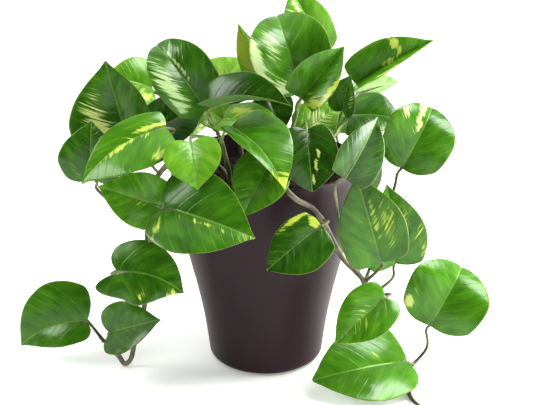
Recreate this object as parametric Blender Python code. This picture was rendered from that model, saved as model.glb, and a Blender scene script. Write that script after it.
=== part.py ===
"""A golden pothos (Epipremnum aureum) growing in a tapered plastic pot.

The pot stands on z = 0 with its axis on +Z, and the front of the plant faces -Y.
Every length below is in millimetres; MM turns it into Blender's metres.
The pieces are the pot, the soil, the stems with their leaf stalks, and the leaf blades.
"""

import math
from dataclasses import dataclass

import bmesh
import bpy
from mathutils import Matrix, Vector

MM = 0.001

# Pot
POT_HEIGHT = 168.0
RIM_RADIUS = 76.0
BASE_RADIUS = 46.0
SWELL = 1.8
WALL = 3.0
FLOOR = 4.0
BASE_ROUNDING = 7.0
POT_SIDES = 36

# Soil
SOIL_BELOW_RIM = 20.0
SOIL_DOME = 3.0
CLEARANCE = 0.3

# Stems and leaf stalks
VINE_RADIUS = 2.0
STALK_RADIUS = 1.25
ROOT_DEPTH = 14.0
STEM_SIDES = 8
STALK_SIDES = 6
ROUTE_STEPS = 3
STALK_STEPS = 2
BUD_RADIUS = 0.6

# Leaf blades
BLADE_THICKNESS = 0.9
BLADE_ROWS = 8
BLADE_COLUMNS = 4
MIDRIB_STEPS = 24

# The plant's points are drawn around a pot of this size and move out or up with it.
DRAWN_HEIGHT = 168.0
DRAWN_RADIUS = 76.0

# Half of a heart-shaped blade, from the stalk round the lobe to the tip:
# (distance along the midrib / length, distance from it / half of the width)
HALF_OUTLINE = [
    (-0.02, 0.04),
    (-0.075, 0.24),
    (-0.09, 0.50),
    (-0.02, 0.78),
    (0.16, 0.96),
    (0.38, 1.00),
    (0.61, 0.80),
    (0.81, 0.43),
    (0.93, 0.14),
    (1.0, 0.012),
]


@dataclass
class Stem:
    """One stem: the points it grows through, from the soil to its growing tip."""

    name: str
    points: tuple
    radius: float = VINE_RADIUS


@dataclass
class Leaf:
    """One blade: where its stalk joins it, where its tip is, and how it is bent.

    face is the way its upper side looks. fold lifts both halves about the midrib,
    droop bends the midrib down, hook above 1 keeps that bend near the tip, lean
    bends it sideways, and uneven makes one half wider than the other. lobe and
    other_lobe set how far the two halves reach back past the stalk, and rounded
    draws the blade's shoulders towards the tip. neck is how far behind the blade's
    base the stalk turns in under it.
    stem and node say where its stalk grows: node counts along the stem's points.
    via lists what the stalk passes on its way to the blade.
    """

    name: str
    base: tuple
    tip: tuple
    face: tuple
    width: float
    stem: str
    node: float
    via: tuple = ()
    fold: float = 12.0
    droop: float = 30.0
    hook: float = 1.0
    lean: float = 0.0
    twist: float = 0.0
    uneven: float = 0.0
    lobe: float = 1.0
    other_lobe: float = 1.0
    rounded: float = 0.0
    neck: float = 8.0


STEMS = [
    Stem(
        "left_vine",
        (
            (-30, -10, 150), (-34, -13, 164), (-48, -22, 177), (-62, -29, 180), (-73, -34, 176),
            (-82, -42, 167), (-87, -47, 152), (-89, -50, 137), (-90, -51, 122), (-92, -50, 96),
            (-95, -46, 62), (-103, -40, 35), (-107, -35, 17), (-110, -31, 7), (-115, -29, 2.4),
            (-120, -26, 8), (-126, -24, 15), (-132, -22, 19), (-136, -21, 22),
        ),
    ),
    Stem(
        "right_vine",
        (
            (6, -40, 150), (7, -48, 162), (9, -60, 173), (12, -74, 175), (17, -83, 170),
            (24, -84, 164), (34, -80, 157), (42, -75, 145), (50, -70, 128), (59, -66, 110),
            (69, -61, 98), (76, -54, 86), (81, -45, 70), (86, -34, 48), (90, -27, 32),
            (100, -30, 16), (111, -42, 9), (113, -54, 8), (112, -64, 4), (111, -74, 2.4),
            (113, -88, 2.4), (119, -99, 2.4), (128, -107, 2.4),
        ),
    ),
    Stem(
        "crown_left",
        (
            (-27, -21, 150), (-28, -24, 166), (-31, -29, 182), (-33, -31, 192), (-36, -30, 198),
            (-39, -28, 202),
        ),
        radius=1.8,
    ),
    Stem(
        "crown_middle",
        (
            (11, -26, 150), (13, -28, 164), (16, -30, 178), (19, -30, 193), (21, -28, 204),
            (23, -26, 210), (24, -25, 214),
        ),
        radius=2.2,
    ),
    Stem(
        "crown_right",
        (
            (38, -8, 150), (42, -7, 166), (46, -6, 178), (51, -5, 187), (54, -4, 192),
            (56, -4, 196),
        ),
        radius=1.8,
    ),
    Stem(
        "back_left",
        (
            (-18, 24, 150), (-20, 27, 166), (-24, 30, 180), (-29, 32, 190), (-31, 33, 198),
            (-32, 33, 204),
        ),
        radius=1.8,
    ),
    Stem(
        "back_right",
        (
            (24, 30, 150), (27, 34, 166), (34, 38, 180), (42, 40, 190), (48, 40, 198),
            (51, 39, 203),
        ),
        radius=1.8,
    ),
]

LEAVES = [
    Leaf(
        "leaf_left_upright",
        base=(-106, -12, 185),
        tip=(-122, -4, 248),
        face=(-0.2, -0.9, 0.35),
        width=68,
        stem="left_vine",
        node=4,
        via=((-82, -34, 169), (-97, -12, 181)),
        fold=20, droop=20, lean=-5, uneven=0.19, lobe=0.7,
    ),
    Leaf(
        "leaf_left_long",
        base=(-73, -54, 210),
        tip=(-133, -76, 174),
        face=(-0.2, -0.75, 0.6),
        width=46,
        stem="left_vine",
        node=3,
        via=((-62, -46, 189), (-70, -50, 201)),
        fold=10, droop=50, lean=-25, uneven=0.3, lobe=0.3,
    ),
    Leaf(
        "leaf_left_outer",
        base=(-129, -50, 170),
        tip=(-128, -46, 213),
        face=(-0.25, -0.9, 0.4),
        width=50,
        stem="left_vine",
        node=6.3,
        via=((-92, -55, 131), (-110, -48, 143), (-128, -38, 156)),
        fold=10, droop=30,
    ),
    Leaf(
        "leaf_left_back",
        base=(-91, 28, 219),
        tip=(-127, 20, 229),
        face=(0, -0.7, 0.7),
        width=44,
        stem="back_left",
        node=3,
        via=((-60, 20, 205),),
        fold=10, droop=30,
    ),
    Leaf(
        "leaf_broad_streaked",
        base=(-45, -16, 213),
        tip=(-84, 8, 257),
        face=(-0.1, -0.8, 0.6),
        width=50,
        stem="crown_left",
        node=5,
        fold=18, droop=90, hook=2.5, lobe=0.2, rounded=0.25,
    ),
    Leaf(
        "leaf_pale_back",
        base=(-42, 30, 215),
        tip=(-18, 40, 240),
        face=(0.1, -0.75, 0.65),
        width=40,
        stem="back_left",
        node=4,
        fold=10, droop=20,
    ),
    Leaf(
        "leaf_boat_left",
        base=(-40, -40, 222),
        tip=(19, -60, 228),
        face=(0, -0.35, 0.93),
        width=44,
        stem="crown_left",
        node=4.5,
        fold=42, droop=45, lobe=0.2,
    ),
    Leaf(
        "leaf_yellow_edge",
        base=(7, 14, 227),
        tip=(-21, 18, 272),
        face=(-0.75, -0.6, 0.3),
        width=34,
        stem="back_left",
        node=4.5,
        fold=25, droop=20,
    ),
    Leaf(
        "leaf_top",
        base=(46, 14, 251),
        tip=(20, 22, 297),
        face=(0.1, -0.85, 0.5),
        width=40,
        stem="back_right",
        node=4,
        via=((52, 26, 228),),
        fold=10, droop=20, uneven=0.2, lobe=0.2, rounded=0.25,
    ),
    Leaf(
        "leaf_tall",
        base=(26, -16, 226),
        tip=(8, 12, 279),
        face=(0, -0.85, 0.5),
        width=64,
        stem="crown_middle",
        node=5.5,
        fold=18, droop=100, hook=1.8, lobe=0, rounded=0.25,
    ),
    Leaf(
        "leaf_boat_right",
        base=(27, -34, 227),
        tip=(58, -30, 265),
        face=(0.4, -0.6, 0.75),
        width=42,
        stem="crown_middle",
        node=5,
        fold=38, droop=20, lobe=0.2,
    ),
    Leaf(
        "leaf_reaching_right",
        base=(70, -2, 229),
        tip=(127, -5, 264),
        face=(-0.15, -0.6, 0.75),
        width=43,
        stem="crown_right",
        node=4,
        via=((60, -3, 210),),
        fold=42, droop=12, lobe=0.2,
    ),
    Leaf(
        "leaf_narrow",
        base=(59, -14, 212),
        tip=(64, -20, 241),
        face=(-0.6, -0.8, 0.2),
        width=28,
        stem="crown_right",
        node=4,
        fold=20, droop=10,
    ),
    Leaf(
        "leaf_pale_right",
        base=(73, 32, 213),
        tip=(108, 42, 220),
        face=(0, 0.9, 0.4),
        width=26,
        stem="back_right",
        node=4,
        fold=20, droop=10,
    ),
    Leaf(
        "leaf_right_back",
        base=(66, 2, 203),
        tip=(105, -10, 203),
        face=(0, -0.6, 0.8),
        width=46,
        stem="crown_right",
        node=2,
        fold=0, droop=40, lobe=0.2,
    ),
    Leaf(
        "leaf_round_right",
        base=(103, -38, 173),
        tip=(126, -18, 215),
        face=(0.1, -0.85, 0.45),
        width=54,
        stem="right_vine",
        node=11,
        via=((82, -36, 92), (91, -28, 123), (99, -30, 155)),
        fold=10, droop=90, hook=2, lobe=0.1, other_lobe=0, rounded=0.4,
    ),
    Leaf(
        "leaf_dark_heart",
        base=(57, -92, 184),
        tip=(80, -74, 224),
        face=(0.5, -0.8, 0.1),
        width=42,
        stem="right_vine",
        node=10,
        via=((74, -54, 103), (63, -56, 122), (55, -66, 141), (52, -78, 158)),
        fold=10, droop=20, lobe=0.2,
    ),
    Leaf(
        "leaf_hanging",
        base=(30, -60, 210),
        tip=(34, -82, 170),
        face=(0, -0.9, 0.35),
        width=44,
        stem="crown_middle",
        node=3,
        via=((26, -44, 206),),
        fold=12, droop=20, rounded=0.35,
    ),
    Leaf(
        "leaf_speckled",
        base=(29, -12, 194),
        tip=(57, 0, 211),
        face=(0, -0.8, 0.6),
        width=36,
        stem="crown_middle",
        node=3,
        fold=15, droop=20,
    ),
    Leaf(
        "leaf_yellow_tip",
        base=(-25, -55, 211),
        tip=(14, -97, 177),
        face=(0.35, -0.65, 0.7),
        width=41,
        stem="crown_left",
        node=3,
        via=((-33, -45, 196),),
        fold=12, droop=60, hook=1.5, uneven=0.42, lobe=0.4,
    ),
    Leaf(
        "leaf_light_middle",
        base=(-32, -22, 207),
        tip=(17, -46, 200),
        face=(0, -0.45, 0.9),
        width=38,
        stem="crown_left",
        node=4,
        fold=12, droop=30, lobe=0.3, other_lobe=0,
    ),
    Leaf(
        "leaf_over_rim",
        base=(3, -66, 187),
        tip=(-17, -98, 156),
        face=(0, -0.85, 0.5),
        width=42,
        stem="crown_middle",
        node=2,
        via=((12, -46, 182),),
        fold=12, droop=25,
    ),
    Leaf(
        "leaf_front_left",
        base=(-72, -84, 159),
        tip=(-7, -112, 146),
        face=(0.05, -0.8, 0.6),
        width=66,
        stem="left_vine",
        node=7.5,
        via=((-86, -68, 126), (-85, -80, 138)),
        fold=12, droop=30,
    ),
    Leaf(
        "leaf_small_heart",
        base=(-53, -74, 204),
        tip=(-48, -92, 175),
        face=(0, -0.9, 0.4),
        width=43,
        stem="crown_left",
        node=3,
        via=((-46, -44, 200),),
        fold=15, droop=25,
    ),
    Leaf(
        "leaf_left_low",
        base=(-75, -65, 152),
        tip=(-123, -67, 169),
        face=(0, -0.92, 0.38),
        width=42,
        stem="left_vine",
        node=5.5,
        fold=8, droop=25, lobe=0.4,
    ),
    Leaf(
        "leaf_left_trailing",
        base=(-111, -68, 101),
        tip=(-61, -80, 89),
        face=(0, -0.92, 0.4),
        width=50,
        stem="left_vine",
        node=8.5,
        fold=-6, droop=30, lobe=1.2, other_lobe=3.6, lean=45,
    ),
    Leaf(
        "leaf_left_last",
        base=(-145, -24, 38),
        tip=(-201, -16, 12),
        face=(0, -0.85, 0.5),
        width=54,
        stem="left_vine",
        node=17,
        fold=10, droop=30, uneven=-0.3, lobe=0.7, lean=-40, neck=0,
    ),
    Leaf(
        "leaf_left_small",
        base=(-123, -46, 39),
        tip=(-81, -62, 58),
        face=(0, -0.8, 0.6),
        width=44,
        stem="left_vine",
        node=15.5,
        fold=20, droop=20,
    ),
    Leaf(
        "leaf_before_pot",
        base=(40, -92, 148),
        tip=(1, -104, 118),
        face=(-0.1, -0.85, 0.5),
        width=42,
        stem="right_vine",
        node=7,
        fold=8, droop=30, lobe=0.2, uneven=0.15, rounded=0.15,
    ),
    Leaf(
        "leaf_right_streaked",
        base=(86, -74, 112),
        tip=(66, -72, 179),
        face=(-0.1, -0.85, 0.5),
        width=52,
        stem="right_vine",
        node=11,
        fold=12, droop=20, lobe=0.3, rounded=0.12,
    ),
    Leaf(
        "leaf_right_shaded",
        base=(101, -40, 96),
        tip=(92, -40, 161),
        face=(0.1, -0.85, 0.5),
        width=52,
        stem="right_vine",
        node=12,
        via=((98, -44, 84),),
        fold=12, droop=25, lobe=0.4,
    ),
    Leaf(
        "leaf_right_hanging",
        base=(90, -72, 81),
        tip=(52, -88, 51),
        face=(0, -0.8, 0.6),
        width=41,
        stem="right_vine",
        node=12,
        fold=12, droop=30, lobe=0.9,
    ),
    Leaf(
        "leaf_on_surface",
        base=(112, -54, 18),
        tip=(36, -80, 15),
        face=(0, -0.55, 0.83),
        width=66,
        stem="right_vine",
        node=16,
        fold=8, droop=20, lobe=0.6, other_lobe=0, rounded=0.2,
    ),
    Leaf(
        "leaf_right_last",
        base=(129, -48, 46),
        tip=(155, -26, 87),
        face=(0, -0.85, 0.5),
        width=66,
        stem="right_vine",
        node=16.5,
        via=((128, -44, 24),),
        fold=10, droop=100, hook=2, lobe=0.2, other_lobe=0, rounded=0.4,
    ),
    Leaf(
        "leaf_dark_middle",
        base=(2, 10, 216),
        tip=(13, -2, 190),
        face=(0, -0.9, 0.4),
        width=34,
        stem="back_left",
        node=4,
        via=((-12, 28, 218),),
        fold=12, droop=25, lobe=0.4,
    ),
    Leaf(
        "leaf_faded_right",
        base=(57, 15, 194),
        tip=(90, 19, 206),
        face=(0, -0.7, 0.7),
        width=30,
        stem="crown_right",
        node=3.5,
        fold=12, droop=25, lobe=0.4,
    ),
    Leaf(
        "leaf_light_behind",
        base=(-33, 6, 199),
        tip=(-60, 16, 211),
        face=(0, -0.7, 0.7),
        width=30,
        stem="crown_left",
        node=4.5,
        fold=12, droop=25, lobe=0.4,
    ),
    Leaf(
        "leaf_left_shaded",
        base=(-87, -6, 193),
        tip=(-46, 4, 209),
        face=(0, -0.65, 0.75),
        width=46,
        stem="left_vine",
        node=3.5,
        via=((-74, -30, 176), (-86, -10, 185)),
        fold=8, droop=30,
    ),
    Leaf(
        "leaf_back_1",
        base=(-66, 36, 198),
        tip=(-112, 58, 172),
        face=(-0.4, 0.4, 0.8),
        width=50,
        stem="back_left",
        node=3,
        droop=40,
    ),
    Leaf(
        "leaf_back_2",
        base=(-44, 66, 182),
        tip=(-66, 118, 148),
        face=(-0.3, 0.6, 0.7),
        width=52,
        stem="back_left",
        node=2.5,
        droop=45,
    ),
    Leaf(
        "leaf_back_3",
        base=(-8, 62, 200),
        tip=(0, 114, 180),
        face=(0, 0.5, 0.85),
        width=54,
        stem="back_left",
        node=3.5,
        droop=40,
    ),
    Leaf(
        "leaf_back_4",
        base=(36, 74, 178),
        tip=(56, 120, 142),
        face=(0.2, 0.6, 0.7),
        width=52,
        stem="back_right",
        node=2,
        droop=45,
    ),
    Leaf(
        "leaf_back_5",
        base=(76, 42, 194),
        tip=(122, 54, 170),
        face=(0.4, 0.4, 0.8),
        width=48,
        stem="back_right",
        node=3.5,
        droop=40,
    ),
    Leaf(
        "leaf_back_6",
        base=(-14, 90, 158),
        tip=(-18, 108, 98),
        face=(0, 0.9, 0.4),
        width=50,
        stem="back_left",
        node=1,
        via=((-16, 64, 184),),
        droop=30,
    ),
    Leaf(
        "leaf_back_7",
        base=(70, 76, 150),
        tip=(90, 90, 98),
        face=(0.5, 0.8, 0.4),
        width=46,
        stem="back_right",
        node=1,
        via=((52, 58, 180),),
        droop=30,
    ),
]


def placed(point):
    """Move a drawn point out and up with the pot's own radius and height."""
    x, y, z = point
    reach = math.hypot(x, y)
    if reach > DRAWN_RADIUS:
        spread = (reach + RIM_RADIUS - DRAWN_RADIUS) / reach
    else:
        spread = RIM_RADIUS / DRAWN_RADIUS
    if z > DRAWN_HEIGHT:
        height = z + POT_HEIGHT - DRAWN_HEIGHT
    else:
        height = z * POT_HEIGHT / DRAWN_HEIGHT
    return Vector((x * spread, y * spread, height))


def smooth(points, steps):
    """Points along one smooth curve through all the given ones (Catmull-Rom)."""
    route = []
    last = len(points) - 1
    for index in range(last):
        before = points[max(index - 1, 0)]
        start = points[index]
        end = points[index + 1]
        after = points[min(index + 2, last)]
        for step in range(steps):
            t = step / steps
            bend = 2 * before - 5 * start + 4 * end - after
            turn = 3 * start - before - 3 * end + after
            route.append(0.5 * (2 * start + (end - before) * t + bend * t**2 + turn * t**3))
    route.append(points[last].copy())
    return route


def principled(name, colour, roughness, metallic=0.0):
    material = bpy.data.materials.new(name)
    material.use_nodes = True
    shader = material.node_tree.nodes["Principled BSDF"]
    shader.inputs["Base Color"].default_value = (*colour, 1.0)
    shader.inputs["Roughness"].default_value = roughness
    shader.inputs["Metallic"].default_value = metallic
    return material


def add_object(name, shape, material):
    """One object from a bmesh that was built in millimetres."""
    bmesh.ops.scale(shape, vec=(MM, MM, MM), verts=shape.verts)
    bmesh.ops.recalc_face_normals(shape, faces=shape.faces)
    mesh = bpy.data.meshes.new(name)
    shape.to_mesh(mesh)
    shape.free()
    mesh.shade_smooth()
    mesh.set_sharp_from_angle(angle=math.radians(40))
    mesh.materials.append(material)
    thing = bpy.data.objects.new(name, mesh)
    bpy.context.scene.collection.objects.link(thing)
    return thing


def combine(thing, other, operation):
    """Join other to thing, or cut it out of it, and keep other as a hidden guide."""
    other.hide_render = True
    other.display_type = "WIRE"
    modifier = thing.modifiers.new(f"{operation.lower()}_{other.name}", "BOOLEAN")
    modifier.operation = operation
    modifier.solver = "EXACT"
    modifier.object = other


def turned(profile):
    """Turn a profile of (radius, height) points, both ends on the axis, about +Z."""
    shape = bmesh.new()
    verts = [shape.verts.new((radius, 0.0, height)) for radius, height in profile]
    edges = [shape.edges.new(pair) for pair in zip(verts, verts[1:])]
    bmesh.ops.spin(
        shape,
        geom=verts + edges,
        axis=(0, 0, 1),
        angle=2 * math.pi,
        steps=POT_SIDES,
        use_merge=True,
    )
    bmesh.ops.remove_doubles(shape, verts=shape.verts, dist=0.01)
    return shape


def tube(points, radii, sides):
    """A closed tube through the points: one ring is extruded from point to point."""
    shape = bmesh.new()
    last = len(points) - 1
    heading = (points[1] - points[0]).normalized()
    frame = heading.to_track_quat("Z", "Y").to_matrix()
    ring = bmesh.ops.create_circle(
        shape,
        cap_ends=True,
        segments=sides,
        radius=radii[0],
        matrix=Matrix.Translation(points[0]) @ frame.to_4x4(),
    )["verts"]
    edges = list(shape.edges)
    for index in range(1, last + 1):
        ahead = points[min(index + 1, last)] - points[index - 1]
        turn = heading.rotation_difference(ahead.normalized()).to_matrix()
        heading = ahead.normalized()
        grown = bmesh.ops.extrude_edge_only(shape, edges=edges)["geom"]
        ring = [item for item in grown if isinstance(item, bmesh.types.BMVert)]
        edges = [item for item in grown if isinstance(item, bmesh.types.BMEdge)]
        edges = [edge for edge in edges if edge.verts[0] in ring and edge.verts[1] in ring]
        scale = radii[index] / radii[index - 1]
        for vert in ring:
            vert.co = points[index] + turn @ (vert.co - points[index - 1]) * scale
    bmesh.ops.edgeloop_fill(shape, edges=edges)
    return shape


def wall_radius(height):
    """Outer radius of the pot: a taper with a slight S, fuller towards the rim."""
    share = height / POT_HEIGHT
    taper = BASE_RADIUS + (RIM_RADIUS - BASE_RADIUS) * share
    return taper - SWELL * math.sin(2 * math.pi * share)


def wall_heights():
    """Heights at which the wall's curve is followed."""
    return [share * POT_HEIGHT for share in (0.15, 0.3, 0.45, 0.6, 0.75, 0.88)]


def make_pot():
    centre = wall_radius(BASE_ROUNDING) - BASE_ROUNDING
    profile = [(0.0, 0.0)]
    for step in range(4):
        angle = math.radians(-90 + 30 * step)
        across = centre + BASE_ROUNDING * math.cos(angle)
        profile.append((across, BASE_ROUNDING * (1 + math.sin(angle))))
    profile += [(wall_radius(height), height) for height in wall_heights()]
    lip = WALL / 2
    for step in range(5):
        angle = math.radians(45 * step)
        across = wall_radius(POT_HEIGHT - lip) - lip + lip * math.cos(angle)
        profile.append((across, POT_HEIGHT - lip + lip * math.sin(angle)))
    profile += [(wall_radius(height) - WALL, height) for height in reversed(wall_heights())]
    profile.append((wall_radius(FLOOR + BASE_ROUNDING) - WALL, FLOOR + BASE_ROUNDING))
    profile.append((wall_radius(FLOOR) - WALL - BASE_ROUNDING / 2, FLOOR))
    profile.append((0.0, FLOOR))
    return add_object("pot", turned(profile), principled("plum_plastic", (0.035, 0.026, 0.028), 0.42))


def soil_height(reach):
    """Height of the soil's domed top at a distance from the axis."""
    edge = POT_HEIGHT - SOIL_BELOW_RIM
    return edge + SOIL_DOME * (1 - (reach / wall_radius(edge)) ** 2)


def make_soil():
    gap = WALL + CLEARANCE
    foot = FLOOR + CLEARANCE
    edge = POT_HEIGHT - SOIL_BELOW_RIM
    profile = [(0.0, foot)]
    profile.append((wall_radius(FLOOR) - gap - BASE_ROUNDING / 2, foot))
    profile.append((wall_radius(FLOOR + BASE_ROUNDING) - gap, foot + BASE_ROUNDING))
    profile += [(wall_radius(height) - gap, height) for height in wall_heights() if height < edge]
    for share in (1.0, 0.75, 0.4, 0.0):
        reach = share * (wall_radius(edge) - gap)
        profile.append((reach, soil_height(reach)))
    material = principled("potting_soil", (0.028, 0.018, 0.012), 0.95)
    soil = add_object("soil", turned(profile), material)
    sides = 2 * STEM_SIDES
    for stem in STEMS:
        foot_point = placed(stem.points[0])
        hole = bmesh.new()
        radius = (stem.radius + CLEARANCE) / math.cos(math.pi / sides)
        top = soil_height(foot_point.xy.length)
        bmesh.ops.create_cone(
            hole,
            cap_ends=True,
            segments=sides,
            radius1=radius,
            radius2=radius,
            depth=2 * ROOT_DEPTH,
            matrix=Matrix.Translation((foot_point.x, foot_point.y, top)),
        )
        combine(soil, add_object(f"{stem.name}_hole", hole, material), "DIFFERENCE")
    return soil


def stem_route(stem):
    """The stem's route above the soil: up out of it, then along its own curve."""
    foot = placed(stem.points[0])
    floor = stem.radius + CLEARANCE
    points = [Vector((foot.x, foot.y, soil_height(foot.xy.length) + 2.0))]
    for drawn in stem.points[1:]:
        point = placed(drawn)
        point.z = max(point.z, floor)
        points.append(point)
    return smooth(points, ROUTE_STEPS)


def make_stems():
    material = principled("stem_green", (0.16, 0.22, 0.07), 0.5)
    for stem in STEMS:
        route = stem_route(stem)
        root = route[0] - Vector((0, 0, ROOT_DEPTH + 2.0 - CLEARANCE))
        radii = [stem.radius] * (len(route) - 3)
        radii += [stem.radius * share for share in (0.9, 0.75, 0.55)] + [BUD_RADIUS]
        shape = tube([root] + route, radii, STEM_SIDES)
        stem_object = add_object(stem.name, shape, material)
        for leaf in LEAVES:
            if leaf.stem == stem.name:
                node = route[round(leaf.node * ROUTE_STEPS)]
                combine(stem_object, make_stalk(leaf, node, material), "UNION")


def make_stalk(leaf, node, material):
    """The leaf's stalk grows out of its stem's node and stops just under the blade."""
    origin, forward, _, up = Midrib(leaf).frame(0.0)
    reach = BLADE_THICKNESS / 2 + CLEARANCE + STALK_RADIUS
    end = origin - up * reach
    approach = origin - up * (reach + 5.0) - forward * leaf.neck
    points = [node] + [placed(point) for point in leaf.via] + [approach, end]
    route = smooth(points, STALK_STEPS)
    last = len(route) - 1
    radii = [STALK_RADIUS * (1.25 - 0.35 * index / last) for index in range(last + 1)]
    return add_object(f"{leaf.name}_stalk", tube(route, radii, STALK_SIDES), material)


class Midrib:
    """The bent midrib of a leaf, and the way the blade turns along it."""

    def __init__(self, leaf):
        self.leaf = leaf
        self.base = placed(leaf.base)
        chord = Vector(leaf.tip) - Vector(leaf.base)
        self.length = chord.length
        self.along = chord.normalized()
        face = Vector(leaf.face)
        self.up = (face - face.dot(self.along) * self.along).normalized()
        self.side = self.up.cross(self.along)
        self.stations = self.bent_stations()

    def heading(self, share):
        """Direction of the midrib at a share of its length, in its own frame."""
        leaf = self.leaf
        pitch = math.radians(leaf.droop) * (1 / (leaf.hook + 1) - share**leaf.hook)
        yaw = math.radians(leaf.lean) * (0.5 - share)
        level = math.cos(pitch)
        return Vector((level * math.cos(yaw), level * math.sin(yaw), math.sin(pitch)))

    def bent_stations(self):
        """Points along the midrib, kept so that both of its ends stay in place."""
        stations = [Vector((0, 0, 0))]
        for step in range(MIDRIB_STEPS):
            stations.append(stations[-1] + self.heading((step + 0.5) / MIDRIB_STEPS))
        end = stations[-1]
        drift = Vector((0, end.y, end.z)) / MIDRIB_STEPS
        scale = self.length / end.x
        return [(point - drift * index) * scale for index, point in enumerate(stations)]

    def frame(self, share):
        """Place, forward, sideways and upward directions at a share of the length."""
        clipped = min(max(share, 0.0), 1.0)
        index = min(int(clipped * MIDRIB_STEPS), MIDRIB_STEPS - 1)
        start, end = self.stations[index], self.stations[index + 1]
        point = start.lerp(end, clipped * MIDRIB_STEPS - index)
        ahead = (end - start).normalized()
        point = point + ahead * min(share, 0.0) * self.length
        twist = math.radians(self.leaf.twist) * (clipped - 0.5)
        side = Vector((0, math.sin(twist), math.cos(twist))).cross(ahead).normalized()
        up = ahead.cross(side)
        turn = Matrix((self.along, self.side, self.up)).transposed()
        return self.base + turn @ point, turn @ ahead, turn @ side, turn @ up


def margin(share):
    """A point of the half outline, at a share of the way from the stalk to the tip."""
    points = [Vector((along, across, 0)) for along, across in HALF_OUTLINE]
    spans = len(points) - 1
    index = min(int(share * spans), spans - 1)
    near = points[max(index - 1, 0) : index + 3]
    if index == 0:
        near = [points[0]] + near
    if len(near) < 4:
        near.append(near[-1])
    before, start, end, after = near
    t = share * spans - index
    bend = 2 * before - 5 * start + 4 * end - after
    turn = 3 * start - before - 3 * end + after
    return 0.5 * (2 * start + (end - before) * t + bend * t**2 + turn * t**3)


def blade_point(midrib, row, across):
    """A point of the blade: row runs stalk to tip, across runs -1 to 1 over it."""
    leaf = midrib.leaf
    edge = margin(row)
    lobe = leaf.lobe if across > 0 else leaf.lobe * leaf.other_lobe
    along = min(edge.x, 0.0) * lobe + max(edge.x, 0.0)
    along += leaf.rounded * edge.y**2 * (1 - row)
    rib = row**1.5
    share = rib + (along - rib) * abs(across)
    reach = abs(across) * edge.y ** (1 - leaf.rounded) * leaf.width / 2
    reach *= 1 + leaf.uneven * math.copysign(1, across)
    point, _, side, up = midrib.frame(share)
    fold = math.radians(leaf.fold)
    return point + side * math.copysign(reach, across) * math.cos(fold) + up * reach * math.sin(fold)


def make_blade(leaf, material):
    """The blade is a grid laid along its veins, given its thickness on both sides."""
    midrib = Midrib(leaf)
    shape = bmesh.new()
    bmesh.ops.create_grid(shape, x_segments=BLADE_ROWS, y_segments=BLADE_COLUMNS, size=1.0)
    for vert in shape.verts:
        vert.co = blade_point(midrib, (vert.co.x + 1) / 2, vert.co.y)
    blade = add_object(leaf.name, shape, material)
    thickness = blade.modifiers.new("thickness", "SOLIDIFY")
    thickness.thickness = BLADE_THICKNESS * MM
    thickness.offset = 0.0
    return blade


def main():
    for thing in list(bpy.data.objects):
        bpy.data.objects.remove(thing, do_unlink=True)
    make_pot()
    make_soil()
    make_stems()
    material = principled("leaf_green", (0.07, 0.22, 0.02), 0.35)
    for leaf in LEAVES:
        make_blade(leaf, material)


main()
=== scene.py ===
"""A golden pothos in a plum-brown plastic pot, with its looks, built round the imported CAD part.

The pot stands on z = 0 and the front of the plant faces -Y. The tables below repeat the CAD
part's own points, in millimetres, so each finer piece lies where its plain solid lies.
"""

import math
import random
from dataclasses import dataclass

import bmesh
import bpy
from mathutils import Matrix, Vector, noise


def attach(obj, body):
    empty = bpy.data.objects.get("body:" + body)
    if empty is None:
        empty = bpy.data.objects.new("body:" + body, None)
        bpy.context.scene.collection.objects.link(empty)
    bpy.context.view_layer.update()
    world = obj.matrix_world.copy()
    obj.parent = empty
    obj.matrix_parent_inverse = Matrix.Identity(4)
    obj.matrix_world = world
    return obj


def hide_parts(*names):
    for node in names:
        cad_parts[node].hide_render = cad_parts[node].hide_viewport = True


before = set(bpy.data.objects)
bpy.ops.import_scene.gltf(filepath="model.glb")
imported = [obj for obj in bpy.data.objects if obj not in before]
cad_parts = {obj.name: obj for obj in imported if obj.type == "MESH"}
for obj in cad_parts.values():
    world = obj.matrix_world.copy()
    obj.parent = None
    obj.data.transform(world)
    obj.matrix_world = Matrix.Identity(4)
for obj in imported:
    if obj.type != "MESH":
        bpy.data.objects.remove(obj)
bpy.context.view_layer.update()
MM = 0.001

# ---------------------------------------------------------------------------
# Sizes of the real thing, in millimetres, and how finely each piece is made
# ---------------------------------------------------------------------------

POT_HEIGHT = 168.0
RIM_RADIUS = 76.0
BASE_RADIUS = 46.0
SWELL = 1.8
WALL = 3.0
FLOOR = 4.0
BASE_ROUNDING = 7.0
POT_SIDES = 144
FOOT_STEPS = 6
LIP_STEPS = 8
# Shares of the pot's height at which its profile follows the wall's curve.
WALL_SHARES = (0.1, 0.2, 0.3, 0.4, 0.5, 0.6, 0.7, 0.8, 0.88, 0.95)
UNDERSIDE_RING = 0.6
MERGE_DISTANCE = 0.01

SOIL_BELOW_RIM = 20.0
SOIL_DOME = 3.0
CLEARANCE = 0.3
SOIL_SIDES = 160
SOIL_RINGS = 40
SOIL_SIDE_HEIGHTS = (40.0, 75.0, 110.0, 135.0)
LUMP_HEIGHT = 1.6
LUMP_LENGTH = 6.25
# The fall-off from one octave of lumps to the next, their ratio and their number.
LUMP_OCTAVES = (0.9, 2.2, 4)
CRUMBS = 420
CRUMB_SEED = 7
CRUMB_RADII = (0.7, 2.0)
CRUMB_MARGIN = 2.0
CRUMB_ROUGHNESS = 0.25

VINE_RADIUS = 2.0
STALK_RADIUS = 1.25
STEM_SIDES = 14
STALK_SIDES = 10
NODE_STEPS = 3
ROUTE_STEPS = 9
STALK_STEPS = 6
BUD_RADIUS = 0.6
STEM_RISE = 2.0
STEM_ROOT = 9.0
# How much thicker a stem is at a node, and over how many steps of its route.
KNOT_SWELL = 0.16
KNOT_STEPS = 2.2
# The stalk runs on as a rib under the blade, in strides that are a share of the midrib.
RIB_STEPS = 8
RIB_STRIDE = 0.09
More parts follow.
